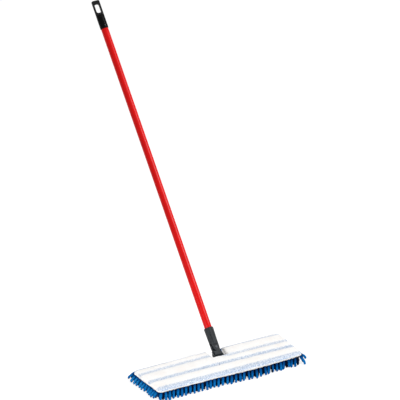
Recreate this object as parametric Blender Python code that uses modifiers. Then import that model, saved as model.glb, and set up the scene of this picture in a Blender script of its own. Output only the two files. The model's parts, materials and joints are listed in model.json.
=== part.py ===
"""Flat mop: a padded head in a terry cover, on a joint that tilts sideways and turns over.

Frame: origin on the floor in the handle's plane, halfway across the head's width, +X along the
head, +Y towards the rear edge where the handle is joined, +Z up. Metres. The handle and the yoke are
built under empties that lean with the handle: local Z runs up it, and its front is local -Y.
"""

import math

import bmesh
import bpy
from mathutils import Matrix, Vector

MM = 0.001
GAP = 0.3 * MM  # between pieces that touch
PAST = 5 * MM  # how far a cutter runs past what it cuts
THROUGH = 30 * MM  # half the length of a cutter that runs right through the joint
ABOVE = 50 * MM  # higher than anything in the head
BEHIND = 100 * MM  # further back than the head

# Head, seen from above
LEFT_END = -262 * MM
RIGHT_END = 220 * MM
HEAD_HALF_Y = 75 * MM
CORNER = 14 * MM
NOTCH_HALF = 23.5 * MM
NOTCH_FLARE = 3 * MM  # its right side opens this much towards the rear edge
NOTCH_FRONT = 30 * MM
NOTCH_RAKE = 7 * MM  # the strands in front of it slope back this much towards the floor
NOTCH_SPLAY = 12.5 * MM  # and those on its two sides open this much

# Head, layer by layer from the floor up
PILE_SPREAD = 12 * MM
PILE = (0, 18.3 * MM)
BACKING = (18.6 * MM, 19.8 * MM)
BINDING = (20.1 * MM, 20.7 * MM)
BINDING_WIDTH = 8 * MM
COVER = (21 * MM, 30 * MM)
COVER_WALL = 5.5 * MM
COVER_EDGE = 4 * MM
POCKET_TOP = 28 * MM
LOWER_WADDING = (20.4 * MM, 21.5 * MM)
LOWER_WADDING_INSET = 9 * MM
BOARD = (21.8 * MM, 25.8 * MM)
BOARD_INSET = 12 * MM
UPPER_WADDING = (26.1 * MM, 27.7 * MM)
UPPER_WADDING_INSET = 7 * MM

# Openings in those layers round the joint: left side, right side and front
MOUTH = (-21 * MM, 21 * MM, 20 * MM)
UPPER_WADDING_CLEAR = (-32 * MM, 46 * MM, 5 * MM)
LOWER_WADDING_CLEAR = (-34 * MM, 48 * MM, 20 * MM)
BOARD_CLEAR = (-31 * MM, 45 * MM, 24 * MM)
WINDOW_PLACES = [(x * MM, y * MM) for x in (-205, -150, -95, 95, 150) for y in (-30, 30)]
WINDOW_HALF = 19 * MM
WINDOW_CORNER = 5 * MM

# Flip hinge, where the head turns on the yoke
FLIP = Vector((0, 45 * MM, 24 * MM))
LEAN = math.radians(41.05)  # of the handle, back from upright
FLIP_PIN_R = 3 * MM
FLIP_HEAD = (4.4 * MM, 0.7 * MM)  # radius and thickness of the pin's head, and of its ring clip
BARREL_R = 8 * MM
BARREL_HALF = 10.8 * MM
EAR_IN = 11.2 * MM
EAR_OUT = 14.2 * MM
EAR_R = 7.2 * MM
EAR_ROOT = (-2.5 * MM, 3.4 * MM)  # where an ear joins the web, below and above the hinge
BUSH_R = 4.8 * MM
BUSH_SINK = 0.1 * MM
WEB_Y = (29 * MM, 33.5 * MM)
WEB_Z = (21.3 * MM, 27.6 * MM)

# Side swivel, and places up the handle from the flip hinge
SWIVEL = 21.5 * MM
SWIVEL_PIN_R = 2.5 * MM
SWIVEL_HEAD = (3.6 * MM, 0.9 * MM)
SWIVEL_BUSH_R = 4.4 * MM
WASHER_R = 8 * MM
WASHER = (4.2 * MM, 4.8 * MM)
TONGUE_R = 12.2 * MM
TONGUE_HALF = 3.9 * MM
ARM_R = 9.8 * MM
ARM_IN = 5.1 * MM
YOKE_HALF = (12.6 * MM, 7.8 * MM)  # its block, wider than the barrel between the ears
YOKE_SHOULDER = 11.2 * MM
SOCKET_FOOT = 30 * MM
ARM_HEAD = 38 * MM
THREAD_FOOT = 43 * MM
TIP_FOOT = 45 * MM
FLANGE_FOOT = 55.2 * MM
TUBE_FOOT = 58 * MM
SOCKET_RIM = 82.6 * MM
PLUG_HEAD = 105 * MM
CAP_FOOT = 1020.8 * MM
RIVET_AT = 1030.3 * MM
TUBE_HEAD = 1045.5 * MM
BOSS_AT = 1052.3 * MM
TAPER_FOOT = 1050.5 * MM
TAB_FOOT = 1065.5 * MM
CAP_HEAD = 1110.1 * MM

TUBE_R = 11 * MM
TUBE_WALL = 0.8 * MM
THREAD_ROOT = 7.9 * MM
THREAD_CREST = 8.6 * MM
THREAD_BORE = 9.2 * MM
THREAD_PITCH = 3 * MM
RIVET_R = 1.8 * MM
RIVET_PROUD = 0.5 * MM
CAP_R = 12.4 * MM
CAP_EDGE = 3.5 * MM
CAP_TAB_HALF = 3.8 * MM  # the cap is flat in its upper part
SLOT_HALF = (8.2 * MM, 13.2 * MM)
SLOT_CORNER = 5 * MM
SLOT_MIDDLE = CAP_HEAD - 25 * MM
SOCKET_RIM_R = 14.4 * MM
SOCKET_FOOT_R = 13.3 * MM
FLUTE_HALF = 3 * MM
FLUTE_LONG = 31 * MM
FLUTE_FLOOR = 12.4 * MM  # from the handle's middle line
HARD_EDGE = 0.8 * MM

BRACKET_X = 20.2 * MM
BRACKET_Y = (6 * MM, 31 * MM)
BRACKET_Z = (23.2 * MM, 26.6 * MM)
SCREW_PLACES = [(x * MM, y * MM) for y in (11, 19) for x in (-13, 13)]
SCREW_R = 1.9 * MM
SCREW_SHANK = (22.1 * MM, 25.6 * MM)
SCREW_HEAD_R = 3.4 * MM
SCREW_HEAD = (25.2 * MM, 26.4 * MM)

BLACK = ("black_plastic", (0.02, 0.02, 0.022), 0.45, 0.0)
CHARCOAL = ("charcoal_plastic", (0.055, 0.055, 0.065), 0.5, 0.0)
BOARD_GREY = ("board_plastic", (0.30, 0.31, 0.33), 0.55, 0.0)
RED_PAINT = ("red_paint", (0.70, 0.01, 0.008), 0.25, 0.0)
STEEL = ("steel", (0.62, 0.63, 0.65), 0.3, 1.0)
DARK_STEEL = ("dark_steel", (0.045, 0.047, 0.053), 0.45, 0.6)
NYLON = ("nylon", (0.75, 0.74, 0.70), 0.5, 0.0)
TERRY = ("white_terry", (0.86, 0.86, 0.84), 0.95, 0.0)
WADDING = ("wadding", (0.60, 0.61, 0.62), 0.9, 0.0)
NAVY = ("navy_cloth", (0.01, 0.05, 0.22), 0.9, 0.0)
PILE_BLUE = ("chenille", (0.01, 0.12, 0.50), 0.95, 0.0)


def clear_scene():
    for obj in list(bpy.data.objects):
        bpy.data.objects.remove(obj, do_unlink=True)


def collection(name):
    made = bpy.data.collections.new(name)
    bpy.context.scene.collection.children.link(made)
    return made


def material(look):
    """The Principled material of a (name, colour, roughness, metallic) look, made once."""
    name, colour, roughness, metallic = look
    found = bpy.data.materials.get(name)
    if found:
        return found
    made = bpy.data.materials.new(name)
    made.use_nodes = True
    shader = made.node_tree.nodes["Principled BSDF"]
    shader.inputs["Base Color"].default_value = (*colour, 1)
    shader.inputs["Roughness"].default_value = roughness
    shader.inputs["Metallic"].default_value = metallic
    return made


def empty(name, location, tilt=0.0):
    made = bpy.data.objects.new(name, None)
    made.empty_display_size = THROUGH
    made.location = location
    made.rotation_euler.x = tilt
    parts.objects.link(made)
    return made


def solid(name, mesh, look, parent, at=(0, 0, 0)):
    """A piece of the mop, in its own object."""
    made = bpy.data.objects.new(name, mesh)
    made.data.materials.append(material(look))
    made.location = at
    made.parent = parent
    parts.objects.link(made)
    return made


def tool(mesh, parent, at):
    """A shape that Boolean modifiers use, left out of the part."""
    made = bpy.data.objects.new("tool", mesh)
    made.location = at
    made.parent = parent
    made.hide_render = True
    made.display_type = "WIRE"
    cutters.objects.link(made)
    return made


def boolean(obj, other, operation):
    modifier = obj.modifiers.new(operation.lower(), "BOOLEAN")
    modifier.operation = operation
    modifier.solver = "EXACT"
    modifier.object = other


def cut(obj, mesh, at=(0, 0, 0)):
    boolean(obj, tool(mesh, obj.parent, at), "DIFFERENCE")


def join(obj, mesh, at=(0, 0, 0)):
    boolean(obj, tool(mesh, obj.parent, at), "UNION")


def round_edges(obj, width, segments=2, angle=math.radians(40)):
    modifier = obj.modifiers.new("edges", "BEVEL")
    modifier.width = width
    modifier.segments = segments
    modifier.limit_method = "ANGLE"
    modifier.angle_limit = angle


def to_mesh(bm, name):
    bmesh.ops.recalc_face_normals(bm, faces=bm.faces)
    mesh = bpy.data.meshes.new(name)
    bm.to_mesh(mesh)
    bm.free()
    return mesh


def smooth(mesh, angle=math.radians(35)):
    mesh.shade_smooth()
    mesh.set_sharp_from_angle(angle=angle)
    return mesh


def box_mesh(low, high):
    bm = bmesh.new()
    bmesh.ops.create_cube(bm, size=1)
    low, high = Vector(low), Vector(high)
    for v in bm.verts:
        v.co = low + Vector((v.co[k] + 0.5) * (high - low)[k] for k in range(3))
    return to_mesh(bm, "box")


def cylinder_mesh(radius, start, end, axis="Z", segments=32, radius_end=None):
    """A cylinder or cone about one axis, from start to end along it."""
    bm = bmesh.new()
    last = radius if radius_end is None else radius_end
    bmesh.ops.create_cone(
        bm, cap_ends=True, segments=segments, radius1=radius, radius2=last, depth=end - start
    )
    bmesh.ops.translate(bm, verts=bm.verts, vec=(0, 0, (start + end) / 2))
    turn = {
        "X": Matrix.Rotation(math.radians(90), 4, "Y"),
        "Y": Matrix.Rotation(math.radians(-90), 4, "X"),
        "Z": Matrix.Identity(4),
    }[axis]
    bmesh.ops.transform(bm, matrix=turn, verts=bm.verts)
    return smooth(to_mesh(bm, "cylinder"))


def arc(centre, radius, start, end, steps=5):
    """Points on a circle, with the angles in degrees."""
    turn = [math.radians(start + (end - start) * k / steps) for k in range(steps + 1)]
    return [(centre[0] + radius * math.cos(a), centre[1] + radius * math.sin(a)) for a in turn]


def rounded_rectangle(half_x, half_y, radius, middle=(0, 0), steps=5):
    points = []
    for k, (sx, sy) in enumerate(((1, 1), (-1, 1), (-1, -1), (1, -1))):
        centre = (middle[0] + sx * (half_x - radius), middle[1] + sy * (half_y - radius))
        points += arc(centre, radius, 90 * k, 90 * (k + 1), steps)
    return points


def prism_mesh(outline, low, high, axis="Z"):
    """A flat outline with a thickness. About Y, the outline is in X and Z; about X, in Y and Z."""
    curve = bpy.data.curves.new("outline", "CURVE")
    curve.dimensions = "2D"
    curve.fill_mode = "BOTH"
    curve.extrude = (high - low) / 2
    spline = curve.splines.new("POLY")
    spline.points.add(len(outline) - 1)
    for point, (x, y) in zip(spline.points, outline):
        point.co = (x, y, 0, 1)
    spline.use_cyclic_u = True
    holder = bpy.data.objects.new("outline", curve)
    cutters.objects.link(holder)
    seen = holder.evaluated_get(bpy.context.evaluated_depsgraph_get())
    mesh = bpy.data.meshes.new_from_object(seen)
    bpy.data.objects.remove(holder, do_unlink=True)
    bm = bmesh.new()
    bm.from_mesh(mesh)
    bmesh.ops.remove_doubles(bm, verts=bm.verts, dist=1e-6)
    bmesh.ops.translate(bm, verts=bm.verts, vec=(0, 0, (low + high) / 2))
    turn = {
        "X": Matrix(((0, 0, 1, 0), (1, 0, 0, 0), (0, 1, 0, 0), (0, 0, 0, 1))),
        "Y": Matrix(((1, 0, 0, 0), (0, 0, 1, 0), (0, 1, 0, 0), (0, 0, 0, 1))),
        "Z": Matrix.Identity(4),
    }[axis]
    bmesh.ops.transform(bm, matrix=turn, verts=bm.verts)
    return smooth(to_mesh(bm, "prism"))


# Handle ---------------------------------------------------------------------------------------


def turned(name, profile, look, parent):
    """A solid of revolution about local Z; the profile runs from the top down its outer side."""
    mesh = bpy.data.meshes.new(name)
    edges = [(k, k + 1) for k in range(len(profile) - 1)]
    mesh.from_pydata([(x, 0, z) for x, z in profile], edges, [])
    made = solid(name, mesh, look, parent)
    screw = made.modifiers.new("turn", "SCREW")
    screw.axis = "Z"
    screw.steps = screw.render_steps = 32
    screw.use_merge_vertices = True
    screw.merge_threshold = 0.00001
    return made


def hang_cap(parent):
    """A sleeve over the tube's top end that flattens into a tab with a hanging slot."""
    cap = solid("hang_cap", cylinder_mesh(CAP_R, CAP_FOOT, CAP_HEAD), BLACK, parent)
    round_edges(cap, CAP_EDGE, 3)
    for side in (1, -1):
        outside, tab, top = side * (CAP_R + PAST), side * CAP_TAB_HALF, CAP_HEAD + PAST
        wedge = [(outside, TAPER_FOOT), (outside, top), (tab, top), (tab, TAB_FOOT)]
        cut(cap, prism_mesh(wedge, -THROUGH, THROUGH, "X"))
    slot = rounded_rectangle(*SLOT_HALF, SLOT_CORNER, (0, SLOT_MIDDLE))
    cut(cap, prism_mesh(slot, -THROUGH, THROUGH, "Y"))
    cut(cap, cylinder_mesh(TUBE_R + GAP, CAP_FOOT - PAST, TUBE_HEAD + GAP))
    boss = cylinder_mesh(RIVET_R, -CAP_R - RIVET_PROUD, -CAP_R + 2 * RIVET_R, "Y", 16)
    join(cap, boss, (0, 0, BOSS_AT))
    rivet_hole(cap)


def rivet_hole(obj):
    hole = cylinder_mesh(RIVET_R + GAP, -THROUGH, THROUGH, "Y", 16)
    cut(obj, hole, (0, 0, RIVET_AT))


def cap_rivet(parent):
    half = CAP_R + RIVET_PROUD
    rivet = cylinder_mesh(RIVET_R, -half, half, "Y", 16)
    solid("cap_rivet", rivet, DARK_STEEL, parent, (0, 0, RIVET_AT))


def handle_tube(parent):
    inner = TUBE_R - TUBE_WALL
    tube = solid("handle_tube", cylinder_mesh(TUBE_R, TUBE_FOOT, TUBE_HEAD), RED_PAINT, parent)
    cut(tube, cylinder_mesh(inner, TUBE_FOOT - PAST, TUBE_HEAD + PAST))
    rivet_hole(tube)


def threaded_tip(parent):
    """A plug in the tube's lower end, with a flange under the tube and a ribbed stud below."""
    plug = TUBE_R - TUBE_WALL - GAP
    profile = [(0, PLUG_HEAD), (plug, PLUG_HEAD), (plug, TUBE_FOOT - GAP),
               (TUBE_R, TUBE_FOOT - GAP), (TUBE_R, FLANGE_FOOT), (THREAD_ROOT, FLANGE_FOOT)]
    for rib in range(3):
        top = FLANGE_FOOT - (rib + 1 / 3) * THREAD_PITCH
        flank = THREAD_PITCH / 4
        profile += [(THREAD_ROOT, top), (THREAD_CREST, top - flank),
                    (THREAD_CREST, top - 2 * flank), (THREAD_ROOT, top - 3 * flank)]
    profile += [(THREAD_ROOT, TIP_FOOT), (0, TIP_FOOT)]
    turned("threaded_tip", profile, NYLON, parent)


def socket_body():
    """An eight-sided sleeve with a flat to each side, narrower at its foot."""
    mesh = cylinder_mesh(SOCKET_FOOT_R, SOCKET_FOOT, SOCKET_RIM, segments=8,
                         radius_end=SOCKET_RIM_R)
    half_a_side = math.radians(360 / 8 / 2)
    mesh.transform(Matrix.Rotation(half_a_side, 4, "Z"))
    return mesh


def handle_socket(parent):
    """The tube's socket, with a flute in front and behind, and two round arms for the swivel."""
    socket = solid("handle_socket", socket_body(), CHARCOAL, parent)
    round_edges(socket, HARD_EDGE, 2, math.radians(30))
    arm = [(ARM_R, ARM_HEAD), (-ARM_R, ARM_HEAD), *arc((0, SWIVEL), ARM_R, 180, 360, 14)]
    for side in (1, -1):
        join(socket, prism_mesh(arm, *sorted((side * ARM_IN, side * ARM_R)), "Y"))
    tongue_room = SWIVEL + TONGUE_R + MM
    cut(socket, box_mesh((-THROUGH, -ARM_IN, 0), (THROUGH, ARM_IN, tongue_room)))
    cut(socket, cylinder_mesh(TUBE_R + GAP, FLANGE_FOOT - GAP, SOCKET_RIM + PAST))
    cut(socket, cylinder_mesh(THREAD_BORE, THREAD_FOOT, SOCKET_RIM))
    hole = cylinder_mesh(SWIVEL_PIN_R + GAP, -THROUGH, THROUGH, "Y", 20)
    cut(socket, hole, (0, 0, SWIVEL))
    flute = [(FLUTE_HALF, SOCKET_RIM + PAST), (-FLUTE_HALF, SOCKET_RIM + PAST),
             *arc((0, SOCKET_RIM - FLUTE_LONG), FLUTE_HALF, 180, 360, 8)]
    for side in (1, -1):
        cut(socket, prism_mesh(flute, *sorted((side * FLUTE_FLOOR, side * THROUGH)), "Y"))


def swivel_pin(parent):
    """The side swivel's pin, headed in front, with a ring clip behind."""
    seat = ARM_R + GAP
    at = (0, 0, SWIVEL)
    head_r, head_long = SWIVEL_HEAD
    pin = cylinder_mesh(SWIVEL_PIN_R, -seat - head_long / 2, seat + 1.5 * head_long, "Y", 20)
    made = solid("swivel_pin", pin, DARK_STEEL, parent, at)
    join(made, cylinder_mesh(head_r, -seat - head_long, -seat, "Y", 20), at)
    clip = (SWIVEL_PIN_R, head_r, seat, seat + head_long)
    ring("swivel_pin_clip", *clip, "Y", DARK_STEEL, parent, at)


def ring(name, pin, outer, start, end, axis, look, parent, at=(0, 0, 0)):
    """A flat ring or a bush that a pin of the given radius runs through."""
    made = solid(name, cylinder_mesh(outer, start, end, axis, 24), look, parent, at)
    cut(made, cylinder_mesh(pin + GAP, start - PAST, end + PAST, axis, 24), at)


# Yoke -----------------------------------------------------------------------------------------


def yoke_pieces(parent):
    """The yoke has a tongue for the side swivel above, and a barrel for the flip hinge below."""
    drop = -SWIVEL
    (wide, deep), narrow = YOKE_HALF, BARREL_HALF
    flare, shoulder = drop + EAR_R + GAP, drop + YOKE_SHOULDER
    foot = [(-narrow, drop), (narrow, drop), (narrow, flare), (wide, shoulder - HARD_EDGE),
            (wide, shoulder), (-wide, shoulder), (-wide, shoulder - HARD_EDGE), (-narrow, flare)]
    yoke = solid("yoke", prism_mesh(foot, -deep, deep, "Y"), CHARCOAL, parent)
    barrel = cylinder_mesh(BARREL_R, -BARREL_HALF, BARREL_HALF, "X", 32)
    join(yoke, barrel, (0, 0, drop))
    base = shoulder - TONGUE_HALF
    tongue = [(-TONGUE_R, base), (TONGUE_R, base), *arc((0, 0), TONGUE_R, 0, 180, 14)]
    join(yoke, prism_mesh(tongue, -TONGUE_HALF, TONGUE_HALF, "Y"))
    cut(yoke, cylinder_mesh(SWIVEL_BUSH_R + GAP, -THROUGH, THROUGH, "Y", 24))
    cut(yoke, cylinder_mesh(FLIP_PIN_R + GAP, -THROUGH, THROUGH, "X", 24), (0, 0, drop))
    rings = (("swivel_bush", SWIVEL_BUSH_R, -TONGUE_HALF, TONGUE_HALF),
             ("swivel_washer_front", WASHER_R, -WASHER[1], -WASHER[0]),
             ("swivel_washer_back", WASHER_R, *WASHER))
    for name, outer, start, end in rings:
        ring(name, SWIVEL_PIN_R, outer, start, end, "Y", NYLON, parent)


# Head: joint bracket and board ------------------------------------------------------------------


def clevis_bracket(parent):
    """A plate let into the board, and a web with the two ears that hold the flip pin."""
    plate = box_mesh((-BRACKET_X, BRACKET_Y[0], BRACKET_Z[0]),
                     (BRACKET_X, BRACKET_Y[1], BRACKET_Z[1]))
    bracket = head_piece("clevis_bracket", plate, CHARCOAL, parent)
    web = box_mesh((-EAR_OUT, WEB_Y[0], WEB_Z[0]), (EAR_OUT, WEB_Y[1], WEB_Z[1]))
    join(bracket, web, -FLIP)
    reach = WEB_Y[1] - MM - FLIP.y
    ear = [(reach, EAR_ROOT[0]), *arc((0, 0), EAR_R, -80, 80, 10), (reach, EAR_ROOT[1])]
    for side in (1, -1):
        join(bracket, prism_mesh(ear, *sorted((side * EAR_IN, side * EAR_OUT)), "X"))
    cut(bracket, cylinder_mesh(BUSH_R + GAP, -THROUGH, THROUGH, "X", 24))
    head_seat = SCREW_HEAD[0] - GAP
    for x, y in SCREW_PLACES:
        at = Vector((x, y, 0)) - FLIP
        cut(bracket, cylinder_mesh(SCREW_R + GAP, 0, ABOVE, segments=16), at)
        cut(bracket, cylinder_mesh(SCREW_HEAD_R + GAP, head_seat, ABOVE, segments=20), at)


def flip_pin(parent):
    """The flip hinge's pin, headed on the left, a ring clip on the right, and two ear bushes."""
    seat = EAR_OUT + GAP
    head_r, head_long = FLIP_HEAD
    pin = cylinder_mesh(FLIP_PIN_R, -seat - head_long / 2, seat + 1.5 * head_long, "X", 24)
    made = solid("flip_pin", pin, DARK_STEEL, parent)
    join(made, cylinder_mesh(head_r, -seat - head_long, -seat, "X", 24))
    bush_in, bush_out = EAR_IN + BUSH_SINK, EAR_OUT - BUSH_SINK
    rings = (("flip_pin_clip", head_r, seat, seat + head_long, DARK_STEEL),
             ("flip_bush_left", BUSH_R, -bush_out, -bush_in, NYLON),
             ("flip_bush_right", BUSH_R, bush_in, bush_out, NYLON))
    for name, outer, start, end, look in rings:
        ring(name, FLIP_PIN_R, outer, start, end, "X", look, parent)


def bracket_screws(parent):
    for k, (x, y) in enumerate(SCREW_PLACES, 1):
        at = Vector((x, y, 0)) - FLIP
        shank = cylinder_mesh(SCREW_R, *SCREW_SHANK, segments=16)
        screw = solid(f"bracket_screw_{k}", shank, STEEL, parent, at)
        join(screw, cylinder_mesh(SCREW_HEAD_R, *SCREW_HEAD, segments=20), at)


def head_piece(name, mesh, look, parent):
    """A piece whose mesh is in world coordinates, under the flip hinge's empty."""
    return solid(name, mesh, look, parent, -FLIP)


def opening(sides, low=0, high=ABOVE):
    """A cutter that opens a layer towards the rear edge, from its left, right and front sides."""
    left, right, front = sides
    return box_mesh((left, front, low), (right, BEHIND, high))


def frame_board(parent):
    """One rigid board inside the sleeve, with a pocket for the bracket and windows in it."""
    board = head_piece("frame_board", layer(BOARD, BOARD_INSET), BOARD_GREY, parent)
    cut(board, opening(BOARD_CLEAR), -FLIP)
    pocket = (-BRACKET_X - GAP, BRACKET_X + GAP, BRACKET_Y[0] - GAP)
    cut(board, opening(pocket, BRACKET_Z[0] - GAP), -FLIP)
    for x, y in SCREW_PLACES:
        hole = cylinder_mesh(SCREW_R + GAP, 0, ABOVE, segments=16)
        cut(board, hole, Vector((x, y, 0)) - FLIP)
    for place in WINDOW_PLACES:
        window = rounded_rectangle(WINDOW_HALF, WINDOW_HALF, WINDOW_CORNER, place, 3)
        cut(board, prism_mesh(window, 0, ABOVE), -FLIP)


# Head: soft layers ------------------------------------------------------------------------------


def head_outline(inset=0.0):
    """The head from above, drawn in by an inset, with the notch in its rear edge."""
    left, right, far_y = LEFT_END + inset, RIGHT_END - inset, HEAD_HALF_Y - inset
    radius = max(CORNER - inset, 3 * MM)
    inner_x, inner_y = NOTCH_HALF + inset, NOTCH_FRONT - inset
    return [*arc((left + radius, radius - far_y), radius, 180, 270, 4),
            *arc((right - radius, radius - far_y), radius, -90, 0, 4),
            *arc((right - radius, far_y - radius), radius, 0, 90, 4),
            (inner_x + NOTCH_FLARE, far_y), (inner_x, inner_y),
            (-inner_x, inner_y), (-inner_x, far_y),
            *arc((left + radius, far_y - radius), radius, 90, 180, 4)]


def layer(heights, inset=0.0):
    return prism_mesh(head_outline(inset), *heights)


def soft_layers(parent):
    """From the top down: the terry sleeve and its wadding, the binding and the backing."""
    cover = head_piece("terry_cover", layer(COVER), TERRY, parent)
    round_edges(cover, COVER_EDGE, 3, math.radians(60))
    cut(cover, layer((0, POCKET_TOP), COVER_WALL), -FLIP)
    cut(cover, opening(MOUTH, high=POCKET_TOP), -FLIP)
    upper_layer = layer(UPPER_WADDING, UPPER_WADDING_INSET)
    upper = head_piece("upper_wadding", upper_layer, WADDING, parent)
    cut(upper, opening(UPPER_WADDING_CLEAR), -FLIP)
    lower_layer = layer(LOWER_WADDING, LOWER_WADDING_INSET)
    lower = head_piece("lower_wadding", lower_layer, WADDING, parent)
    cut(lower, opening(LOWER_WADDING_CLEAR), -FLIP)
    binding = head_piece("edge_binding", layer(BINDING), NAVY, parent)
    cut(binding, layer((0, ABOVE), BINDING_WIDTH), -FLIP)
    head_piece("backing_cloth", layer(BACKING), NAVY, parent)


def chenille(parent):
    """Three blocks of strands, whose outer sides splay down to the floor."""
    side, far = NOTCH_HALF, HEAD_HALF_Y
    left = [*arc((LEFT_END + CORNER, CORNER - far), CORNER, 180, 270, 4), (-side - GAP, -far),
            (-side - GAP, far), *arc((LEFT_END + CORNER, far - CORNER), CORNER, 90, 180, 4)]
    right = [(side + GAP, -far), *arc((RIGHT_END - CORNER, CORNER - far), CORNER, -90, 0, 4),
             *arc((RIGHT_END - CORNER, far - CORNER), CORNER, 0, 90, 4), (side + GAP, far)]
    centre = [(-side, -far), (side, -far), (side, NOTCH_FRONT - MM), (-side, NOTCH_FRONT - MM)]
    for name, outline in (("left", left), ("centre", centre), ("right", right)):
        block = head_piece(f"chenille_{name}", splayed(prism_mesh(outline, *PILE)), PILE_BLUE,
                           parent)
        if name == "centre":
            for v in block.data.vertices:
                if v.co.y > 0:
                    v.co.y -= NOTCH_RAKE * (PILE[1] - v.co.z) / PILE[1]
        else:
            foot, head = side + NOTCH_SPLAY, side + 2.5 * MM
            taper = [(-foot, -MM), (foot, -MM), (head, BINDING[0]), (-head, BINDING[0])]
            cut(block, prism_mesh(taper, NOTCH_FRONT - MM, BEHIND, "Y"), -FLIP)
        if name == "right":
            opened = side + NOTCH_FLARE * (BEHIND - NOTCH_FRONT) / (far - NOTCH_FRONT)
            flare = [(0, NOTCH_FRONT), (side, NOTCH_FRONT), (opened, BEHIND), (0, BEHIND)]
            cut(block, prism_mesh(flare, -PAST, ABOVE), -FLIP)


def splayed(mesh):
    """Widen a block towards the floor on the head's outer sides."""
    for v in mesh.vertices:
        by = PILE_SPREAD * (PILE[1] - v.co.z) / PILE[1]
        if abs(v.co.x) > RIGHT_END / 2:
            v.co.x += math.copysign(by, v.co.x)
        if abs(v.co.y) > HEAD_HALF_Y / 2:
            v.co.y += math.copysign(by, v.co.y)
    return mesh


clear_scene()
parts = collection("flat_mop")
cutters = collection("cutters")
handle_axis = empty("handle_axis", FLIP, tilt=-LEAN)
swivel_at = FLIP + Matrix.Rotation(-LEAN, 3, "X") @ Vector((0, 0, SWIVEL))
swivel_axis = empty("swivel_axis", swivel_at, tilt=-LEAN)
flip_axis = empty("flip_axis", FLIP)
for make in (hang_cap, cap_rivet, handle_tube, threaded_tip, handle_socket, swivel_pin):
    make(handle_axis)
yoke_pieces(swivel_axis)
for make in (clevis_bracket, bracket_screws, flip_pin, frame_board, soft_layers, chenille):
    make(flip_axis)
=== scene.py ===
"""The flat mop's looks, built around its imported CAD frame. Metres, +Z up."""

import json
import math
import random

import bmesh
import bpy
import numpy as np
from mathutils import Matrix, Vector
from mathutils.bvhtree import BVHTree


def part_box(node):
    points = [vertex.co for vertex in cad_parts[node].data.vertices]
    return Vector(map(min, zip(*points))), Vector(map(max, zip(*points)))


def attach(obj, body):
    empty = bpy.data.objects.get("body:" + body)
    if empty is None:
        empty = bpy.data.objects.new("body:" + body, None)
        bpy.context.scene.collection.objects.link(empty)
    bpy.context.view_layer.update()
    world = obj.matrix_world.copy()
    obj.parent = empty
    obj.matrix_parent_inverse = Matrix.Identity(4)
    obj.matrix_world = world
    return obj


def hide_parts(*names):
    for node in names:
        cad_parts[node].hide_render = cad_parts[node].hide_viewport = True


MM = 0.001

# Camera: almost parallel, from the front left and above
CAMERA_AIM = Vector((0.0373, 0.2145, 0.4447))
CAMERA_AZIMUTH = math.radians(29.5)
CAMERA_ELEVATION = math.radians(27)
CAMERA_FAR = 30.0
FRAME_WIDTH = 1.164
SENSOR = 36.0

# Head's outline
CORNER, LEAST_CORNER = 14 * MM, 3 * MM
NOTCH_HALF, NOTCH_FRONT = 23.5 * MM, 30 * MM
NOTCH_FLARE = 3 * MM
BESIDE_NOTCH = 60 * MM  # an outline point at the rear, this near the middle, is on the notch
CORNER_PULL = 6 * MM  # the cover's rear left corner is drawn out by this much
FRONT_BOW = 6 * MM  # the front edge swells forward by this much, right of the middle
BOW_MIDDLE, BOW_HALF = 60 * MM, 158 * MM
LAYERS_IN = 2.2 * MM  # from the cover's edge to the backing under it
LAYERS_BACK = 6 * MM  # from the notch to the layers that the cloth rolls over

# Each woven stripe in mm: y of its middle at the head's middle, how far y has changed at the
# right end (the other way at the left end), how far both ends bend, how far it steps across
# the notch, and its width; then how deep its blue is
STRIPES = ((68, -3, -5, 0, 6, 0.85), (30, -1, -4, -20, 13, 0.7), (-16, -4, -3, 0, 15, 0.9),
           (-69, -2, 0, 0, 21, 0.85), (-75, -2, 0, 0, 9, 1.0))
STEP_HALF = 20 * MM  # the step happens between x = -20 mm and x = 20 mm
STRIPE_BLUR = 7 * MM
STRIPE_RAGGED = 8 * MM
STRIPE_DIP = 1.2 * MM  # the stripes are woven lower than the looped bands

# Cover's shape
SLEEVE_IN = 0.8 * MM
VOXEL = 3 * MM
HEM = 2.2 * MM  # how far the cover's wall reaches below its CAD solid, to hide the layers
WALL = 0.9 * MM
FLAP_DROP = 8 * MM  # how far the cloth turns down inside the notch
FLAP_OUT = 2.5 * MM
FLAP_HALF = 40 * MM  # the cloth nearer the middle than this, at the rear, is the flap
EDGE_ROLL = 14 * MM  # how far in from the edge the cover has rolled up to its full height
NOTCH_STEEPER = 2.8  # the cover rolls up this many times faster beside the notch
RIM_HEIGHT = 1.8 * MM  # of the cover at its very edge
SWELL_MOST = 2.4 * MM  # how far the simulation may move the cloth
PRESSURE, CLOTH_STIFFNESS, CLOTH_STEPS = 6, 15, 20
HELD_LOW, HELD_NOTCH, HELD_STRIPE = 1.0, 0.8, 0.75  # how firmly it holds the cloth there
LOWER_EDGE = 3 * MM  # the cover's wall up to this height is its lower edge
MOUTH_HALF, MOUTH_FRONT, MOUTH_REAR = 21 * MM, 20 * MM, 40 * MM  # the joint's opening
MOUTH_LOW, MOUTH_HIGH = 10 * MM, 28 * MM

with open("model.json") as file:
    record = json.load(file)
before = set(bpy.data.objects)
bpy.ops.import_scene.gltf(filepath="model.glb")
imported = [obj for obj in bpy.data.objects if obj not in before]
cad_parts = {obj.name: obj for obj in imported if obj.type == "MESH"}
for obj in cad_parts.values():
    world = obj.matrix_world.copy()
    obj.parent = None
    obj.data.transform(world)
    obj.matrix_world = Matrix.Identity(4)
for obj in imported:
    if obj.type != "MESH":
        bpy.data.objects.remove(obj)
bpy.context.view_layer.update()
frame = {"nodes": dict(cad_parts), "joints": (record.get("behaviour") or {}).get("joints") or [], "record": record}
NODES = frame["nodes"]
COVER_LOW, COVER_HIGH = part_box("terry_cover")
PILE_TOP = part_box("chenille_centre")[1].z
HALF_Y = COVER_HIGH.y


# Shapes ---------------------------------------------------------------------------------------


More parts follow.
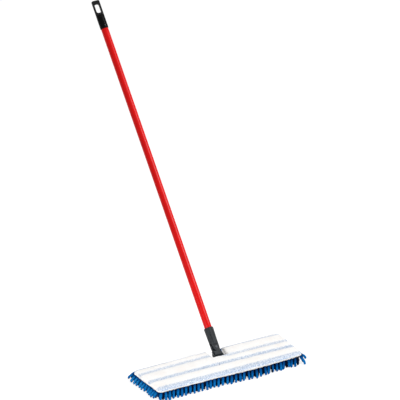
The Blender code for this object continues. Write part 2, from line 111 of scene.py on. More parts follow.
def arc(x, y, radius, start, end, steps=6):
    """Points along a circle's arc, from one angle in degrees to another."""
    turn = [math.radians(start + (end - start) * k / steps) for k in range(steps + 1)]
    return [(x + radius * math.cos(a), y + radius * math.sin(a)) for a in turn]


def head_outline(inset=0.0, notch_inset=None):
    """The head from above, drawn in by an inset, with the notch in its rear edge."""
    back = inset if notch_inset is None else notch_inset
    left, right, far = COVER_LOW.x + inset, COVER_HIGH.x - inset, HALF_Y - inset
    radius = max(CORNER - inset, LEAST_CORNER)
    side, front = NOTCH_HALF + back, NOTCH_FRONT - back
    bow = [(BOW_MIDDLE + BOW_HALF * t, -far - FRONT_BOW * (1 - t * t) ** 2)
           for t in np.linspace(-1, 1, 17)[1:-1]]
    return [*arc(left + radius, radius - far, radius, 180, 270), *bow,
            *arc(right - radius, radius - far, radius, -90, 0),
            *arc(right - radius, far - radius, radius, 0, 90),
            (side + NOTCH_FLARE, far), (side, front), (-side, front), (-side, far),
            *arc(left - CORNER_PULL + radius, far - radius, radius, 90, 180)]


def rectangle(left, right, front, rear):
    return [(left, front), (right, front), (right, rear), (left, rear)]


def new_object(name, mesh):
    made = bpy.data.objects.new(name, mesh)
    bpy.context.scene.collection.objects.link(made)
    return made


def mesh_from(name, points, faces):
    mesh = bpy.data.meshes.new(name)
    mesh.from_pydata([tuple(p) for p in points], [], faces)
    mesh.update()
    return mesh


def prism(name, outline, low, high):
    """A solid with an outline's shape from above, between two heights."""
    count = len(outline)
    points = [(x, y, z) for z in (low, high) for x, y in outline]
    sides = [(k, (k + 1) % count, count + (k + 1) % count, count + k) for k in range(count)]
    faces = [tuple(reversed(range(count))), tuple(range(count, 2 * count)), *sides]
    return new_object(name, mesh_from(name, points, faces))


def apply_modifiers(obj):
    seen = obj.evaluated_get(bpy.context.evaluated_depsgraph_get())
    mesh = bpy.data.meshes.new_from_object(seen)
    obj.modifiers.clear()
    obj.data = mesh
    return obj


def coordinates(mesh):
    co = np.empty(len(mesh.vertices) * 3)
    mesh.vertices.foreach_get("co", co)
    return co.reshape(-1, 3)


def boolean(obj, other, operation):
    modifier = obj.modifiers.new(operation, "BOOLEAN")
    modifier.operation, modifier.solver, modifier.object = operation, "EXACT", other
    bpy.context.view_layer.update()
    apply_modifiers(obj)
    bpy.data.objects.remove(other, do_unlink=True)


def noise(points, size, seed):
    """A smooth repeatable field from -1 to 1 at each point, with features of about one size."""
    rng = np.random.default_rng(seed)
    total = np.zeros(len(points))
    for _ in range(7):
        way = rng.normal(size=3)
        way *= 2 * math.pi / (size * np.linalg.norm(way)) * rng.uniform(0.7, 1.4)
        total += np.sin(points @ way + rng.uniform(0, 2 * math.pi))
    return total / 7


# Materials ------------------------------------------------------------------------------------


class Look:
    """A procedural material: its nodes, and short ways to add to them."""

    def __init__(self, name, roughness, metallic=0.0, **shader_values):
        self.material = bpy.data.materials.new(name)
        self.material.use_nodes = True
        self.nodes = self.material.node_tree.nodes
        self.links = self.material.node_tree.links
        self.shader = self.nodes["Principled BSDF"]
        self.shader.inputs["Roughness"].default_value = roughness
        self.shader.inputs["Metallic"].default_value = metallic
        for socket, value in shader_values.items():
            self.shader.inputs[socket.replace("_", " ")].default_value = value
        self.place = self.nodes.new("ShaderNodeTexCoord").outputs["Object"]

    def link(self, source, target):
        self.links.new(source, target)

    def noise(self, size, detail=3.0):
        made = self.nodes.new("ShaderNodeTexNoise")
        made.inputs["Scale"].default_value = 1 / size
        made.inputs["Detail"].default_value = detail
        self.link(self.place, made.inputs["Vector"])
        return made.outputs["Fac"]

    def cells(self, size):
        made = self.nodes.new("ShaderNodeTexVoronoi")
        made.inputs["Scale"].default_value = 1 / size
        self.link(self.place, made.inputs["Vector"])
        return made.outputs["Distance"]

    def ramp(self, source, *stops):
        made = self.nodes.new("ShaderNodeValToRGB")
        ends = made.color_ramp.elements
        for k, (position, colour) in enumerate(stops):
            stop = ends[k] if k < 2 else ends.new(position)
            stop.position, stop.color = position, (*colour, 1)
        self.link(source, made.inputs["Fac"])
        return made.outputs["Color"]

    def maths(self, operation, first, second=0.0, third=0.0):
        made = self.nodes.new("ShaderNodeMath")
        made.operation = operation
        for socket, value in zip(made.inputs, (first, second, third)):
            if isinstance(value, (int, float)):
                socket.default_value = value
            else:
                self.link(value, socket)
        return made.outputs[0]

    def clamped(self, value):
        return self.maths("MINIMUM", self.maths("MAXIMUM", value, 0.0), 1.0)

    def mix(self, share, first, second):
        made = self.nodes.new("ShaderNodeMix")
        made.data_type = "RGBA"
        for socket, value in ((made.inputs[0], share), (made.inputs[6], first),
                              (made.inputs[7], second)):
            if isinstance(value, tuple):
                socket.default_value = (*value, 1)
            else:
                self.link(value, socket)
        return made.outputs[2]

    def colour(self, source):
        self.link(source, self.shader.inputs["Base Color"])

    def bump(self, source, depth, strength=0.6):
        made = self.nodes.new("ShaderNodeBump")
        made.inputs["Strength"].default_value = strength
        made.inputs["Distance"].default_value = depth
        self.link(source, made.inputs["Height"])
        self.link(made.outputs["Normal"], self.shader.inputs["Normal"])

    def rough(self, source, low, high):
        made = self.nodes.new("ShaderNodeMapRange")
        made.inputs["To Min"].default_value = low
        made.inputs["To Max"].default_value = high
        self.link(source, made.inputs["Value"])
        self.link(made.outputs[0], self.shader.inputs["Roughness"])


def terry_look():
    """White loops, with woven pale blue stripes that bend a little at the ends."""
    look = Look("terry", 0.95, Sheen_Weight=0.3, Specular_IOR_Level=0.1)
    axes = look.nodes.new("ShaderNodeSeparateXYZ")
    look.link(look.place, axes.inputs[0])
    middle = (COVER_LOW.x + COVER_HIGH.x) / 2
    along = look.maths("MULTIPLY_ADD", axes.outputs["X"], 1 / (COVER_HIGH.x - middle),
                       -middle / (COVER_HIGH.x - middle))
    ragged = look.maths("MULTIPLY_ADD", look.noise(4 * MM), STRIPE_RAGGED, -STRIPE_RAGGED / 2)
    across = look.maths("ADD", axes.outputs["Y"], ragged)
    rim = look.clamped(look.maths("MULTIPLY_ADD", axes.outputs["Z"], 1 / (2 * MM),
                                  -(COVER_LOW.z + 1.5 * MM) / (2 * MM)))
    stepped = look.clamped(look.maths("MULTIPLY_ADD", axes.outputs["X"], 1 / (2 * STEP_HALF), 0.5))
    share = None
    for centre, slope, bend, step, width, depth in STRIPES:
        rising = look.maths("MULTIPLY_ADD", along, bend * MM, slope * MM)
        level = look.maths("MULTIPLY_ADD", stepped, step * MM, (centre - step / 2) * MM)
        middle_y = look.maths("MULTIPLY_ADD", rising, along, level)
        away = look.maths("ABSOLUTE", look.maths("SUBTRACT", across, middle_y))
        past = look.maths("MULTIPLY_ADD", away, -1 / STRIPE_BLUR,
                          0.5 + width * MM / 2 / STRIPE_BLUR)
        inside = look.maths("MULTIPLY", look.clamped(past), depth)
        share = inside if share is None else look.maths("MAXIMUM", share, inside)
    share = look.maths("MULTIPLY", share, rim)
    speckle = look.ramp(look.noise(3.4 * MM, 3), (0.40, (0.33, 0.44, 0.62)),
                        (0.66, (0.80, 0.86, 0.93)))
    white = look.ramp(look.noise(5 * MM), (0.3, (0.93, 0.915, 0.89)),
                      (0.7, (0.985, 0.978, 0.965)))
    # Broad random patches mixed towards warm grey: painted shade, standing for faint creases and shadows in the
    # cloth
    painted_crease_shade = look.ramp(look.noise(55 * MM, 2), (0.48, (0, 0, 0)), (0.74, (0.5, 0.5, 0.5)))
    white = look.mix(painted_crease_shade, white, (0.90, 0.85, 0.80))
    look.colour(look.mix(share, white, speckle))
    look.bump(look.cells(2.4 * MM), 1.0 * MM, 0.8)
    return look.material


def chenille_look():
    """Bright blue tufts, painted down to navy and near black as painted shade at the roots and in the inner rows;
    each strand carries its own tone, with its painted shade, from root to tip.
    """
    look = Look("chenille", 0.95, Specular_IOR_Level=0.05)
    tone_with_painted_shade = look.nodes.new("ShaderNodeAttribute")
    tone_with_painted_shade.attribute_name = "tone_with_painted_shade"
    mottled = look.maths("MULTIPLY_ADD", look.noise(2.2 * MM, 4), 0.5, -0.25)
    shade = look.maths("ADD", tone_with_painted_shade.outputs["Fac"], mottled)
    # The darkest stops are painted shade, for the roots under the cover and the shaded inner rows; the blues are
    # the strands' own colour
    look.colour(look.ramp(shade, (0.12, (0.001, 0.004, 0.018)), (0.42, (0.0005, 0.05, 0.20)),
                          (0.72, (0.001, 0.125, 0.39)), (1.0, (0.02, 0.25, 0.56))))
    look.bump(look.noise(0.9 * MM, 5), 0.8 * MM, 0.8)
    return look.material


def cloth_look(name, dark, light, thread):
    look = Look(name, 0.92, Specular_IOR_Level=0.15)
    look.colour(look.ramp(look.noise(3 * MM), (0.3, dark), (0.7, light)))
    look.bump(look.cells(thread), 0.3 * MM)
    return look.material


def hard_look(name, dark, light, rough, sizes, bump, metallic=0.0, specular=0.5):
    """Paint, plastic or metal: mottled in colour and gloss, with a fine grain."""
    mottle, gloss, grain, detail = sizes
    look = Look(name, rough[0], metallic, Specular_IOR_Level=specular)
    look.colour(look.ramp(look.noise(mottle), (0.3, dark), (0.7, light)))
    look.rough(look.noise(gloss), *rough)
    look.bump(look.noise(grain, detail), *bump)
    return look.material


PLASTIC = (14 * MM, 6 * MM, 1.2 * MM, 4), (0.05 * MM, 0.4)
PAINT = (40 * MM, 9 * MM, 3 * MM, 3), (0.02 * MM, 0.3)
METAL = (2 * MM, MM, 0.6 * MM, 3), (0.02 * MM, 0.4), 1.0

LOOKS = {
    "cap_plastic": hard_look("cap_plastic", (0.001, 0.001, 0.0012), (0.003, 0.003, 0.0035),
                             (0.22, 0.36), *PLASTIC, specular=0.09),
    "charcoal_plastic": hard_look("charcoal", (0.009, 0.012, 0.015), (0.017, 0.021, 0.025),
                                  (0.32, 0.48), *PLASTIC, specular=0.14),
    "board_plastic": hard_look("board_plastic", (0.26, 0.27, 0.29), (0.33, 0.34, 0.36),
                               (0.45, 0.65), *PLASTIC, specular=0.25),
    "nylon": hard_look("nylon", (0.70, 0.69, 0.65), (0.78, 0.77, 0.73),
                       (0.4, 0.6), *PLASTIC, specular=0.25),
    "red_paint": hard_look("red_paint", (0.62, 0.002, 0.002), (0.70, 0.003, 0.003),
                           (0.26, 0.38), *PAINT, specular=0.16),
    "steel": hard_look("steel", (0.55, 0.56, 0.58), (0.68, 0.69, 0.71), (0.22, 0.4), *METAL),
    "dark_steel": hard_look("dark_steel", (0.035, 0.037, 0.042), (0.055, 0.058, 0.064),
                            (0.35, 0.55), *METAL),
    "terry": terry_look(),
    "chenille": chenille_look(),
    "navy_cloth": cloth_look("navy_cloth", (0.006, 0.03, 0.14), (0.012, 0.05, 0.20), 0.8 * MM),
    "wadding": cloth_look("wadding", (0.54, 0.55, 0.56), (0.64, 0.65, 0.66), 1.5 * MM),
}


def finish_piece(obj, slot, *nodes, body="head"):
    """Give a new piece its material and its CAD body, and hide the CAD nodes that it stands for."""
    obj.data.materials.clear()
    obj.data.materials.append(LOOKS[slot])
    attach(obj, body)
    if nodes:
        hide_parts(*nodes)
    return obj


EDGE_ANGLE = math.radians(32)  # edges sharper than this stay sharp


def dress_hard_parts(replaced):
    """The CAD nodes that stay shown take the procedural materials and softened edges."""
    slots = {s["node"]: s["material_slot"] for s in frame["record"]["subparts"]}
    for name, node in NODES.items():
        if name in replaced:
            continue
        node.data.materials.clear()
        node.data.materials.append(LOOKS[slots[name]])
        node.data.shade_smooth()
        node.data.set_sharp_from_angle(angle=EDGE_ANGLE)


# Cover ----------------------------------------------------------------------------------------


def segment_distance(points, a, b):
    """How far each point is from the straight line between two places."""
    along = np.clip(((points - a) @ (b - a)) / ((b - a) @ (b - a)), 0, 1)
    return np.linalg.norm(points - a - along[:, None] * (b - a), axis=1)


def edge_distance(points):
    """How far each point is in from the cover's edge; the notch's own sides count for more."""
    outline = np.array(head_outline())
    near = np.full(len(points), 1.0)
    for a, b in zip(outline, np.roll(outline, -1, 0)):
        at_notch = max(abs(a[0]), abs(b[0])) < BESIDE_NOTCH and a[1] > 0
        scale = NOTCH_STEEPER if at_notch else 1
        near = np.minimum(near, segment_distance(points[:, :2], a, b) * scale)
    return near


def stripe_share(points):
    """1 in a stripe, 0 well outside, with soft sides."""
    share = np.zeros(len(points))
    middle = (COVER_LOW.x + COVER_HIGH.x) / 2
    along = (points[:, 0] - middle) / (COVER_HIGH.x - middle)
    stepped = np.clip(points[:, 0] / STEP_HALF, -1, 1) / 2
    for centre, slope, bend, step, width, _ in STRIPES:
        middle_y = (centre + step * stepped + (slope + bend * along) * along) * MM
        away = np.abs(points[:, 1] - middle_y) - width * MM / 2
        share = np.maximum(share, np.clip(0.5 - away / STRIPE_BLUR, 0, 1))
    return share * share * (3 - 2 * share)


def shape_cover(points):
    """Roll the edges down like a pillow's, dip the stripes, and let the sides wander a little."""
    low = COVER_LOW.z
    full = COVER_HIGH.z - low
    near = 1 - np.minimum(edge_distance(points), EDGE_ROLL) / EDGE_ROLL
    height = RIM_HEIGHT + (full - RIM_HEIGHT) * np.sqrt(1 - near ** 2)
    share = np.clip((points[:, 2] - low) / (full - MM), 0, 1)
    inner = np.clip(1 - near, 0, 1)
    lift = 0.5 * MM * noise(points * (1, 1, 0), 38 * MM, 3) - STRIPE_DIP * stripe_share(points)
    top = low + share * (height + lift * inner)
    points[:, 2] = np.where(points[:, 2] > low, top, points[:, 2])
    outer = np.abs(points[:, 0]) > BESIDE_NOTCH
    wander = 1.0 * MM * noise(points * (1, 1, 0), 45 * MM, 6) * near * outer
    points[:, 1] += np.sign(points[:, 1]) * wander
    return points


def pinned(points):
    """How firmly each point is held: the lower edge, the notch and the woven stripes."""
    near_seam = stripe_share(points) > 0.95
    low = points[:, 2] < COVER_LOW.z + LOWER_EDGE
    notch = (np.abs(points[:, 0]) < NOTCH_HALF + 16 * MM) & (points[:, 1] > NOTCH_FRONT - 4 * MM)
    held = np.where(notch, HELD_NOTCH, np.where(near_seam, HELD_STRIPE, 0.0))
    return np.where(low, HELD_LOW, held)


def simulate(obj, group, most):
    """Inflate the cover with cloth simulation, and limit how far each point may move."""
    rest = coordinates(obj.data)
    modifier = obj.modifiers.new("cloth", "CLOTH")
    settings = modifier.settings
    settings.use_pressure = True
    settings.uniform_pressure_force = PRESSURE
    settings.vertex_group_mass = group
    settings.effector_weights.gravity = 0
    settings.tension_stiffness = settings.compression_stiffness = CLOTH_STIFFNESS
    scene = bpy.context.scene
    for step in range(1, CLOTH_STEPS + 1):
        scene.frame_set(step)
    apply_modifiers(obj)
    moved = coordinates(obj.data) - rest
    far = np.linalg.norm(moved, axis=1, keepdims=True)
    kept = rest + moved * np.minimum(1, most / np.maximum(far, 1e-9))
    obj.data.vertices.foreach_set("co", kept.ravel())
    obj.data.update()
    scene.frame_set(1)


def terry_sleeve():
    """The cover's upper side and walls: a cloth shell, open below and at the joint's mouth."""
    sleeve = prism("terry_sleeve", head_outline(SLEEVE_IN), COVER_LOW.z - 6 * MM,
                   COVER_HIGH.z - MM)
    remesh = sleeve.modifiers.new("even", "REMESH")
    remesh.mode, remesh.voxel_size = "VOXEL", VOXEL
    bpy.context.view_layer.update()
    apply_modifiers(sleeve)
    points = shape_cover(coordinates(sleeve.data))
    sleeve.data.vertices.foreach_set("co", points.ravel())
    sleeve.data.update()
    group = sleeve.vertex_groups.new(name="held")
    for index, weight in enumerate(pinned(points)):
        if weight:
            group.add([index], float(weight), "REPLACE")
    simulate(sleeve, "held", SWELL_MOST)
    sleeve.vertex_groups.clear()
    bm = bmesh.new()
    bm.from_mesh(sleeve.data)
    geometry = [*bm.verts, *bm.edges, *bm.faces]
    hem = COVER_LOW.z - HEM
    bmesh.ops.bisect_plane(bm, geom=geometry, plane_co=(0, 0, hem), plane_no=(0, 0, 1),
                           clear_inner=True)
    waves = noise(np.array([v.co for v in bm.verts]), 16 * MM, 9)
    for v, wave in zip(bm.verts, waves):
        turned = min(max((COVER_LOW.z + HEM - v.co.z) / (2 * HEM), 0), 1)
        if abs(v.co.x) < FLAP_HALF and v.co.y > NOTCH_FRONT - 2 * MM:
            v.co.z -= FLAP_DROP * turned
            v.co.x += math.copysign(FLAP_OUT * turned, v.co.x)
        else:
            v.co.z -= HEM * turned * float(wave)
    bm.to_mesh(sleeve.data)
    bm.free()
    wall = sleeve.modifiers.new("wall", "SOLIDIFY")
    wall.thickness, wall.offset = WALL, -1
    bpy.context.view_layer.update()
    apply_modifiers(sleeve)
    mouth = rectangle(-MOUTH_HALF, MOUTH_HALF, MOUTH_FRONT, MOUTH_REAR)
    boolean(sleeve, prism("mouth", mouth, MOUTH_LOW, MOUTH_HIGH), "DIFFERENCE")
    smooth = sleeve.modifiers.new("smooth", "SUBSURF")
    smooth.levels = smooth.render_levels = 1
    bpy.context.view_layer.update()
    apply_modifiers(sleeve)
    loops = coordinates(sleeve.data)
    lift = 0.5 * MM * noise(loops, 6 * MM, 4) + 0.3 * MM * noise(loops, 3 * MM, 5)
    upper = loops[:, 2] > COVER_LOW.z + LOWER_EDGE
    loops[:, 2] += np.where(upper, lift, 0)
    sleeve.data.vertices.foreach_set("co", loops.ravel())
    sleeve.data.shade_smooth()
    finish_piece(sleeve, "terry", "terry_cover")
    return sleeve


SHEET_GRID = 6 * MM


def soft_sheet(name, node, slot, inset, wave, clear=None):
    """A thin layer of the head, gently uneven, cut to the head's outline.

    clear is the left, right and front of a part that is left out behind the joint.
    """
    low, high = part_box(node)
    xs = np.arange(low.x - SHEET_GRID, high.x + 2 * SHEET_GRID, SHEET_GRID)
    ys = np.arange(low.y - 2 * SHEET_GRID, high.y + 2 * SHEET_GRID, SHEET_GRID)
    flat = np.array([(x, y, 0) for y in ys for x in xs])
    thick = high.z - low.z
    top = high.z - 0.1 * MM + wave * noise(flat, 30 * MM, 8)
    points = np.vstack([flat + [(0, 0, low.z + 0.1 * MM)], np.column_stack([flat[:, :2], top])])
    count, wide = len(flat), len(xs)
    faces = []
    for r in range(len(ys) - 1):
        for c in range(wide - 1):
            a = r * wide + c
            faces.append((a, a + wide, a + wide + 1, a + 1))
            faces.append((count + a, count + a + 1, count + a + wide + 1, count + a + wide))
    rim = [*range(wide), *[r * wide + wide - 1 for r in range(1, len(ys))],
           *range(count - 2, count - wide - 1, -1), *[r * wide for r in range(len(ys) - 2, 0, -1)]]
    for k, a in enumerate(rim):
        b = rim[(k + 1) % len(rim)]
        faces.append((a, b, count + b, count + a))
    sheet = new_object(name, mesh_from(name, points, faces))
    under, over = low.z - thick, high.z + thick
    outline = head_outline(inset, max(inset, LAYERS_BACK))
    boolean(sheet, prism("trim", outline, under, over), "INTERSECT")
    if clear:
        hole = rectangle(*clear, HALF_Y + 25 * MM)
        boolean(sheet, prism("hole", hole, under, over), "DIFFERENCE")
    return finish_piece(sheet, slot, node)


def tube_mesh(path, radii, sides, closed=False):
    """A round tube along a list of points, closed into a ring or capped at both ends."""
    path = np.asarray(path, float)
    count = len(path)
    ahead = np.roll(path, -1, 0) - np.roll(path, 1, 0)
    if not closed:
        ahead[0], ahead[-1] = path[1] - path[0], path[-1] - path[-2]
    ahead /= np.linalg.norm(ahead, axis=1, keepdims=True)
    side = np.cross(ahead, (0, 0, 1.0))
    weak = np.linalg.norm(side, axis=1) < 0.2
    side[weak] = np.cross(ahead[weak], (1.0, 0, 0))
    side /= np.linalg.norm(side, axis=1, keepdims=True)
    over = np.cross(side, ahead)
    turn = np.linspace(0, 2 * math.pi, sides, endpoint=False)
    ring = (np.cos(turn)[None, :, None] * side[:, None]
            + np.sin(turn)[None, :, None] * over[:, None])
    points = path[:, None] + ring * np.broadcast_to(np.asarray(radii), (count,))[:, None, None]
    faces = []
    for k in range(count if closed else count - 1):
        a, b = k * sides, (k + 1) % count * sides
        faces += [(a + j, a + (j + 1) % sides, b + (j + 1) % sides, b + j) for j in range(sides)]
    if not closed:
        faces += [tuple(reversed(range(sides))), tuple(range((count - 1) * sides, count * sides))]
    return points.reshape(-1, 3), faces


TAPE_R, TAPE_IN, TAPE_STEP = 0.8 * MM, 3.2 * MM, 4 * MM


def edge_binding():
    """The rolled navy tape round the head's lower edge."""
    low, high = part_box("edge_binding")
    outline = np.array(head_outline(TAPE_IN, LAYERS_BACK))
    dense = []
    for a, b in zip(outline, np.roll(outline, -1, 0)):
        steps = max(1, int(np.linalg.norm(b - a) / TAPE_STEP))
        dense += [a + (b - a) * k / steps for k in range(steps)]
    path = np.column_stack([np.array(dense), np.full(len(dense), (low.z + high.z) / 2)])
    radii = TAPE_R * (1 + 0.12 * noise(path, 7 * MM, 2))
    points, faces = tube_mesh(path, radii, 10, closed=True)
    tape = new_object("edge_tape", mesh_from("edge_tape", points, faces))
    tape.data.shade_smooth()
    return finish_piece(tape, "navy_cloth", "edge_binding")


SEAM_START, SEAM_END = np.array((-34, -26)) * MM, np.array((-24.5, -9)) * MM
STITCHES, STITCH_R, STITCH_HUMP = 4, 0.4 * MM, 0.25 * MM
ABOVE_HEAD = 100 * MM  # a ray goes down from here to find the cloth


def seam_mark(sleeve):
    """A short slanting row of blue stitches near the middle of the cover."""
    tree = BVHTree.FromObject(sleeve, bpy.context.evaluated_depsgraph_get())
    points, faces = [], []
    for k in range(STITCHES):
        path = []
        for t in np.linspace(0, 1, 7):
            x, y = SEAM_START + (SEAM_END - SEAM_START) * (k + 0.7 * t) / STITCHES
            hit = tree.ray_cast(Vector((x, y, ABOVE_HEAD)), Vector((0, 0, -1)))[0]
            path.append((x, y, hit.z + STITCH_HUMP * math.sin(math.pi * t)))
        more, sides = tube_mesh(path, STITCH_R, 8)
        faces += [tuple(i + len(points) for i in f) for f in sides]
        points += list(more)
    mark = new_object("seam_stitches", mesh_from("seam_stitches", points, faces))
    mark.data.shade_smooth()
    return finish_piece(mark, "navy_cloth")


# Chenille -------------------------------------------------------------------------------------

NOODLE_RINGS, NOODLE_SIDES = 13, 10
NOODLE_R = 3.7 * MM
NOODLE_TIP = 0.9 * MM  # height of the middle of a strand's end
LEAST_HEIGHT = 0.3 * MM
HANG = 1.25  # above 1, a strand leaves the backing sideways before it hangs
KNOBS, KNOB_DEPTH = (4.5, 6.5), 0.08  # half waves of thickness along a strand
THICKNESS, FUZZ = (0.92, 1.1), (0.86, 1.16)  # how whole strands vary, and each point on them
# Painted shade: a strand's tone at its root and how much it lifts to full tone; then how the tone of whole strands
# varies at random
PAINTED_ROOT_SHADE, PAINTED_ROOT_SHADE_LIFT, TONE_VARIES = 0.22, 0.46, (-0.09, 0.07)
LEAN_VARIES = (0.85, 1.15)
STRAY_LEFT, STRAY_MORE = 2, 7  # in mm: how far strands stray, and how much more at the right
SLIDE = 0.35  # a root slides along the edge by up to this share of how far strands stray
COMBED = 0.55  # the front strands are combed to the left by this share of how far they lean
SIDE_LEAN, LEFT_LEAN, RIGHT_LEAN = 20 * MM, 14.5 * MM, 10 * MM
LEFT_CORNER, RIGHT_CORNER = 17 * MM, 21 * MM

# The share of its length over which a strand's painted root shade lifts to full tone, and how much more at the
# right end
PAINTED_SHADE_REACH, PAINTED_SHADE_REACH_RIGHT = 0.33, 0.35

# Rows of strands along the edge: inset, pitch, share of the full lean, and how bright the row is
# painted at the long sides and at the ends; painted shade darkens the inner rows, painted light brightens the ends
EDGE_ROWS = ((2.2 * MM, 13.6 * MM, 1.0, 1.0, 1.2), (6 * MM, 8 * MM, 0.8, 0.07, 0.7),
             (12 * MM, 8 * MM, 0.55, 0.05, 0.5))

# Rows of upright strands under the rest of the head
INNER_Y, INNER_PITCH, INNER_ROWS = (-57 * MM, 60 * MM), 9 * MM, 8.6 * MM
INNER_LEFT, INNER_RIGHT = 19 * MM, 17 * MM  # in from the cover's ends
# How brightly the inner strands are painted, on the same scale of painted light and shade
INNER_PAINTED_LIGHT = 0.95

BARE_LEFT, BARE_RIGHT, BARE_FRONT = -38 * MM, 48 * MM, NOTCH_FRONT - 5 * MM  # no strands here


def noodle(root, lean, painted_light, rng, painted_shade_reach=PAINTED_SHADE_REACH):
    """One chenille strand: it leaves the backing, leans outward and hangs to the floor.

    Its tone holds painted shade: dark at the root and full from the given share of its length, all scaled by how
    brightly its row is painted.
    """
    t = 0.5 - 0.5 * np.cos(np.linspace(0, math.pi, NOODLE_RINGS))
    drop = root[2] - NOODLE_TIP
    across = np.array(root[:2]) + np.sin(t * math.pi / 2)[:, None] * np.array(lean)
    path = np.column_stack([across, root[2] - drop * t ** HANG])
    knobs = 1 + KNOB_DEPTH * np.sin(t * math.pi * rng.uniform(*KNOBS) + rng.uniform(0, 6))
    cap = np.sqrt(np.clip(1 - (2 * t - 1) ** 8, 0.04, 1))
    radii = NOODLE_R * knobs * cap * rng.uniform(*THICKNESS)
    points, faces = tube_mesh(path, radii, NOODLE_SIDES)
    middle = np.repeat(path, NOODLE_SIDES, 0)
    fuzz = np.array([rng.uniform(*FUZZ) for _ in range(len(points))])[:, None]
    points = middle + (points - middle) * fuzz
    points[:, 2] = np.maximum(points[:, 2], LEAST_HEIGHT)
    along = np.repeat(t, NOODLE_SIDES)
    tone_with_painted_shade = painted_light * (PAINTED_ROOT_SHADE + PAINTED_ROOT_SHADE_LIFT * np.clip(along / painted_shade_reach, 0, 1))
    tone_with_painted_shade += rng.uniform(*TONE_VARIES)
    return points, faces, tone_with_painted_shade


def in_notch(x, y):
    return y > BARE_FRONT and BARE_LEFT < x < BARE_RIGHT


def edge_roots(inset, pitch):
    """Evenly spaced places and outward directions along the head's outer sides."""
    outline = np.array(head_outline(inset))
    places = []
    for a, b in zip(outline, np.roll(outline, -1, 0)):
        if abs(a[0]) < BESIDE_NOTCH and abs(b[0]) < BESIDE_NOTCH and a[1] > 0:
            continue
        length = np.linalg.norm(b - a)
        out = np.array([(b - a)[1], -(b - a)[0]]) / length
        places.append((a, b, out, length))
    roots, carried = [], 0.0
    for a, b, out, length in places:
        at = carried
        while at < length:
            roots.append((a + (b - a) * at / length, out))
            at += pitch
        carried = at - length
    return roots


def full_lean(out):
    """How far an outer strand leans, from the way it faces."""
    at_corner = abs(out[0] * out[1]) > 0.2
    if at_corner:
        return LEFT_CORNER if out[0] < 0 else RIGHT_CORNER
    end_lean = LEFT_LEAN if out[0] < 0 else RIGHT_LEAN
    return SIDE_LEAN + (end_lean - SIDE_LEAN) * abs(out[0])


def all_noodles():
    """Every strand with the place of its root: the rows along the edge, then those inside."""
    rng = random.Random(11)
    made = []
    top = PILE_TOP - 0.5 * MM
    for inset, pitch, leaning, side_painted_light, end_painted_light in EDGE_ROWS:
        for place, out in edge_roots(inset, pitch):
            if in_notch(*place):
                continue
            share = abs(out[0])
            far = full_lean(out) * leaning * rng.uniform(*LEAN_VARIES)
            rightness = (place[0] - COVER_LOW.x) / (COVER_HIGH.x - COVER_LOW.x)
            unruly = (STRAY_LEFT + STRAY_MORE * rightness ** 2) * MM
            lean = out * far + (unruly * rng.uniform(-0.5, 0.5), unruly * rng.uniform(-0.5, 0.5))
            lean[0] -= COMBED * far * (1 - share)
            slid = (1 - share) * unruly * rng.uniform(-SLIDE, SLIDE)
            # The row's painted light and shade, between its long sides and its ends
            painted_light = side_painted_light + (end_painted_light - side_painted_light) * share
            made.append((place, noodle((place[0] + slid, place[1], top), lean, painted_light, rng,
                                       PAINTED_SHADE_REACH + PAINTED_SHADE_REACH_RIGHT * rightness * (1 - share))))
    for row, y in enumerate(np.arange(*INNER_Y, INNER_ROWS)):
        first = COVER_LOW.x + INNER_LEFT + row % 2 * INNER_PITCH / 2
        for x in np.arange(first, COVER_HIGH.x - INNER_RIGHT, INNER_PITCH):
            place = (x + rng.uniform(-1, 1) * MM, y + rng.uniform(-1, 1) * MM)
            if not in_notch(*place):
                lean = (rng.uniform(-2, 2) * MM, rng.uniform(-2, 2) * MM)
                made.append((place, noodle((*place, top), lean, INNER_PAINTED_LIGHT, rng)))
    return made


def chenille_strands():
    """The strands in three pieces, one over each block of the CAD."""
    groups = {"left": [], "centre": [], "right": []}
    for (x, _), strand in all_noodles():
        side = "left" if x < -NOTCH_HALF else "right" if x > NOTCH_HALF else "centre"
        groups[side].append(strand)
    for side, strands in groups.items():
        points, faces, tones_with_painted_shade = [], [], []
        for strand_points, strand_faces, strand_tone_with_painted_shade in strands:
            faces += [tuple(i + len(points) for i in f) for f in strand_faces]
            points += list(strand_points)
            tones_with_painted_shade += list(strand_tone_with_painted_shade)
        name = f"chenille_strands_{side}"
        piece = new_object(name, mesh_from(name, points, faces))
        tone_with_painted_shade = piece.data.attributes.new("tone_with_painted_shade", "FLOAT", "POINT")
        tone_with_painted_shade.data.foreach_set("value", np.array(tones_with_painted_shade, np.float32))
        piece.data.shade_smooth()
        finish_piece(piece, "chenille", f"chenille_{side}")


# Handle ---------------------------------------------------------------------------------------

TUBE_R, TUBE_BORE = 11 * MM, 10.2 * MM
TURNED_IN = 0.2 * MM  # each end of the tube narrows by this much
TURN_LENGTH = 0.3 * MM
TUBE_SIDES, TUBE_PARTS = 72, 24
TUBE_EDGE_ANGLE = math.radians(40)


def handle_line():
    """The handle's lower end, upper end and direction, from the CAD tube's box."""
    low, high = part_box("handle_tube")
    joint = next(j for j in frame["joints"] if j["name"] == "side_swivel")
    up = Vector((0, -joint["axis"][2], joint["axis"][1])).normalized()
    up = up if up.z > 0 else -up
    middle = (low + high) / 2
    half = ((high.z - low.z) / 2 - TUBE_R * up.y) / up.z
    return middle - up * half, middle + up * half, up


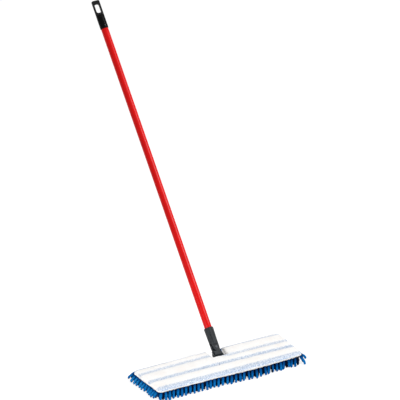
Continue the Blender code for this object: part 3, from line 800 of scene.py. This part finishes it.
def red_tube():
    """A thin-walled tube with its ends turned in. It has no hole for the rivet, under the cap."""
    foot, head, up = handle_line()
    long = (head - foot).length
    profile = [(TUBE_BORE, long), (TUBE_R - TURNED_IN, long), (TUBE_R, long - TURN_LENGTH),
               *[(TUBE_R, long * k / TUBE_PARTS) for k in range(TUBE_PARTS - 1, 0, -1)],
               (TUBE_R, TURN_LENGTH), (TUBE_R - TURNED_IN, 0), (TUBE_BORE, 0)]
    points, faces = [], []
    for k in range(TUBE_SIDES):
        turn = 2 * math.pi * k / TUBE_SIDES
        points += [(r * math.cos(turn), r * math.sin(turn), z) for r, z in profile]
    count = len(profile)
    for k in range(TUBE_SIDES):
        a, b = k * count, (k + 1) % TUBE_SIDES * count
        faces += [(a + j, a + (j + 1) % count, b + (j + 1) % count, b + j) for j in range(count)]
    tube = new_object("red_tube", mesh_from("red_tube", points, faces))
    bm = bmesh.new()
    bm.from_mesh(tube.data)
    bmesh.ops.recalc_face_normals(bm, faces=bm.faces)
    bm.to_mesh(tube.data)
    bm.free()
    tube.data.transform(up.to_track_quat("Z", "Y").to_matrix().to_4x4())
    tube.data.transform(Matrix.Translation(foot))
    tube.data.shade_smooth()
    tube.data.set_sharp_from_angle(angle=TUBE_EDGE_ANGLE)
    return finish_piece(tube, "red_paint", "handle_tube", body="handle")


# Studio ---------------------------------------------------------------------------------------

FLOOR_HALF = 6.0
FLOOR_GLOW, SKY = 0.78, 0.53

# Each light's name, place, what it is aimed at, its width in metres, its power in watts and how
# wide its beam is
LIGHTS = (("key", (1.7, -1.3, 2.4), (0, 0.2, 0.3), 1.0, 61, math.pi),
          ("end_fill", (-1.5, -0.6, 0.5), (-0.1, 0, 0.02), 0.5, 0.45, math.radians(30)))


def camera():
    data = bpy.data.cameras.new("camera")
    data.sensor_width = SENSOR
    data.lens = SENSOR * CAMERA_FAR / FRAME_WIDTH
    made = bpy.data.objects.new("camera", data)
    bpy.context.scene.collection.objects.link(made)
    level = math.cos(CAMERA_ELEVATION)
    ahead = Vector((math.sin(CAMERA_AZIMUTH) * level, math.cos(CAMERA_AZIMUTH) * level,
                    -math.sin(CAMERA_ELEVATION)))
    made.location = CAMERA_AIM - ahead * CAMERA_FAR
    made.rotation_mode = "QUATERNION"
    made.rotation_quaternion = ahead.to_track_quat("-Z", "Y")
    bpy.context.scene.camera = made


def light(name, place, aim, size, power, spread):
    data = bpy.data.lights.new(name, "AREA")
    data.shape, data.size, data.energy, data.spread = "DISK", size, power, spread
    made = bpy.data.objects.new(name, data)
    bpy.context.scene.collection.objects.link(made)
    made.location = place
    made.rotation_mode = "QUATERNION"
    made.rotation_quaternion = (Vector(aim) - Vector(place)).to_track_quat("-Z", "Y")


def studio():
    points = [(x, y, 0) for x, y in rectangle(-FLOOR_HALF, FLOOR_HALF, -FLOOR_HALF, FLOOR_HALF)]
    floor = new_object("floor", mesh_from("floor", points, [(0, 1, 2, 3)]))
    look = Look("floor", 0.9, Specular_IOR_Level=0.05, Emission_Color=(1, 1, 1, 1),
                Emission_Strength=FLOOR_GLOW)
    look.colour(look.ramp(look.noise(0.6), (0.3, (0.36, 0.36, 0.36)), (0.7, (0.38, 0.38, 0.38))))
    floor.data.materials.append(look.material)
    world = bpy.data.worlds.new("studio")
    world.use_nodes = True
    sky = world.node_tree.nodes["Background"]
    sky.inputs["Color"].default_value = (1, 1, 1, 1)
    sky.inputs["Strength"].default_value = SKY
    bpy.context.scene.world = world
    bpy.context.scene.view_settings.view_transform = "Standard"
    for each in LIGHTS:
        light(*each)


camera()
studio()
cover = terry_sleeve()
seam_mark(cover)
edge_binding()
backing = soft_sheet("backing_sheet", "backing_cloth", "navy_cloth", LAYERS_IN, 0.08 * MM)
soft_sheet("upper_wadding_pad", "upper_wadding", "wadding", 7 * MM, 0.1 * MM,
           (-32 * MM, 46 * MM, 5 * MM))
soft_sheet("lower_wadding_pad", "lower_wadding", "wadding", 9 * MM, 0.05 * MM,
           (-34 * MM, 48 * MM, 20 * MM))
chenille_strands()
red_tube()
dress_hard_parts({"handle_tube", "terry_cover", "edge_binding", "backing_cloth", "upper_wadding",
                  "lower_wadding", "chenille_left", "chenille_centre", "chenille_right"})
